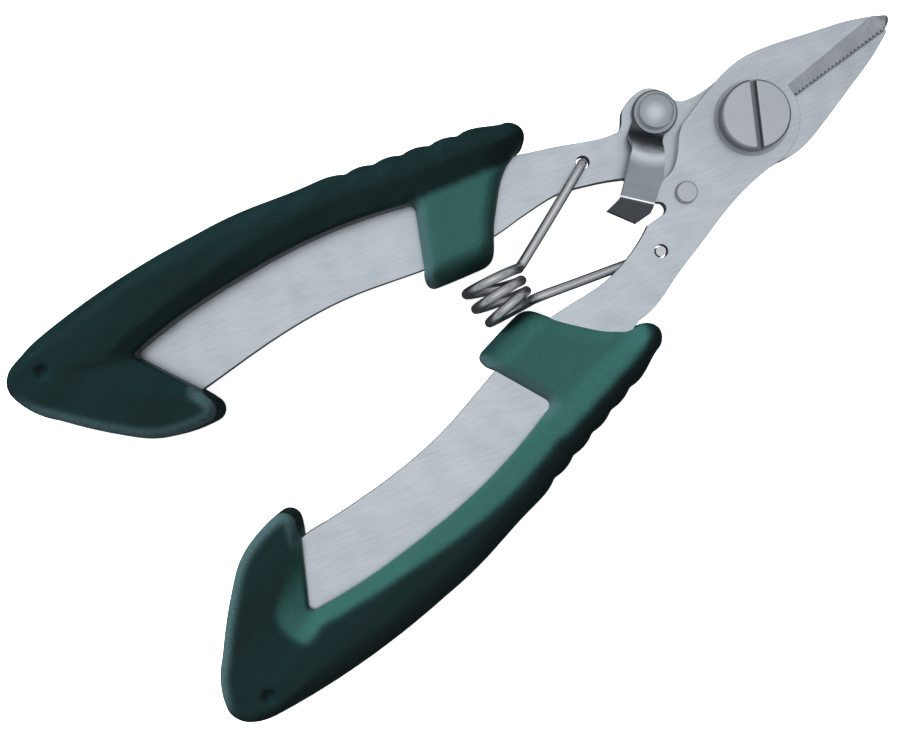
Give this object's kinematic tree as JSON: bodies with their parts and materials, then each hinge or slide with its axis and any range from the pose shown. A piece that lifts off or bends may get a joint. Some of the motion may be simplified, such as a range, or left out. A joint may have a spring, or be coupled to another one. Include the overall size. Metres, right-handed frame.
{
  "type": "fishing pliers",
  "caption": "Small crossed-blade fishing pliers with a toothed cutting jaw, moulded C-shaped grips, a coil return spring and a thumb latch.",
  "frame": {"origin": "pivot screw's axis, in the plane that the closed pliers lie on", "axes": "+X towards the jaws' tips, +Y towards the handle of the back half, +Z along the pivot's axis towards the screw's head"},
  "size_m": [0.1314, 0.0638, 0.01],
  "materials": {
    "stamped_steel": "satin, ground",
    "turned_steel": "turned, polished",
    "spring_wire": "drawn wire",
    "latch_sheet": "satin sheet",
    "grip_plastic": "semi-gloss dark green"
  },
  "bodies": {
    "back_half": {"back_plate": "stamped_steel", "upper_grip": "grip_plastic", "pivot_screw": "turned_steel", "pivot_washer": "turned_steel", "pivot_nut": "turned_steel", "latch_rivet": "turned_steel", "latch_washer": "turned_steel", "return_spring": "spring_wire"},
    "front_half": {"front_plate": "stamped_steel", "lower_grip": "grip_plastic", "stop_pin": "turned_steel"},
    "thumb_latch": {"latch": "latch_sheet"}
  },
  "joints": [
    {"name": "jaw_pivot", "type": "hinge", "parent": "back_half", "child": "front_half", "pos_m": [0, 0, 0.005], "axis": [0, 0, 1], "range_deg": [0, 24], "stiffness_Nm_per_rad": 0.3, "springref_deg": 34.38, "deforming": ["return_spring"]},
    {"name": "latch_swing", "type": "hinge", "parent": "back_half", "child": "thumb_latch", "pos_m": [-0.0104, 0.0085, 0.0055], "axis": [0, 0, 1], "range_deg": [-16, 4.5]}
  ]
}
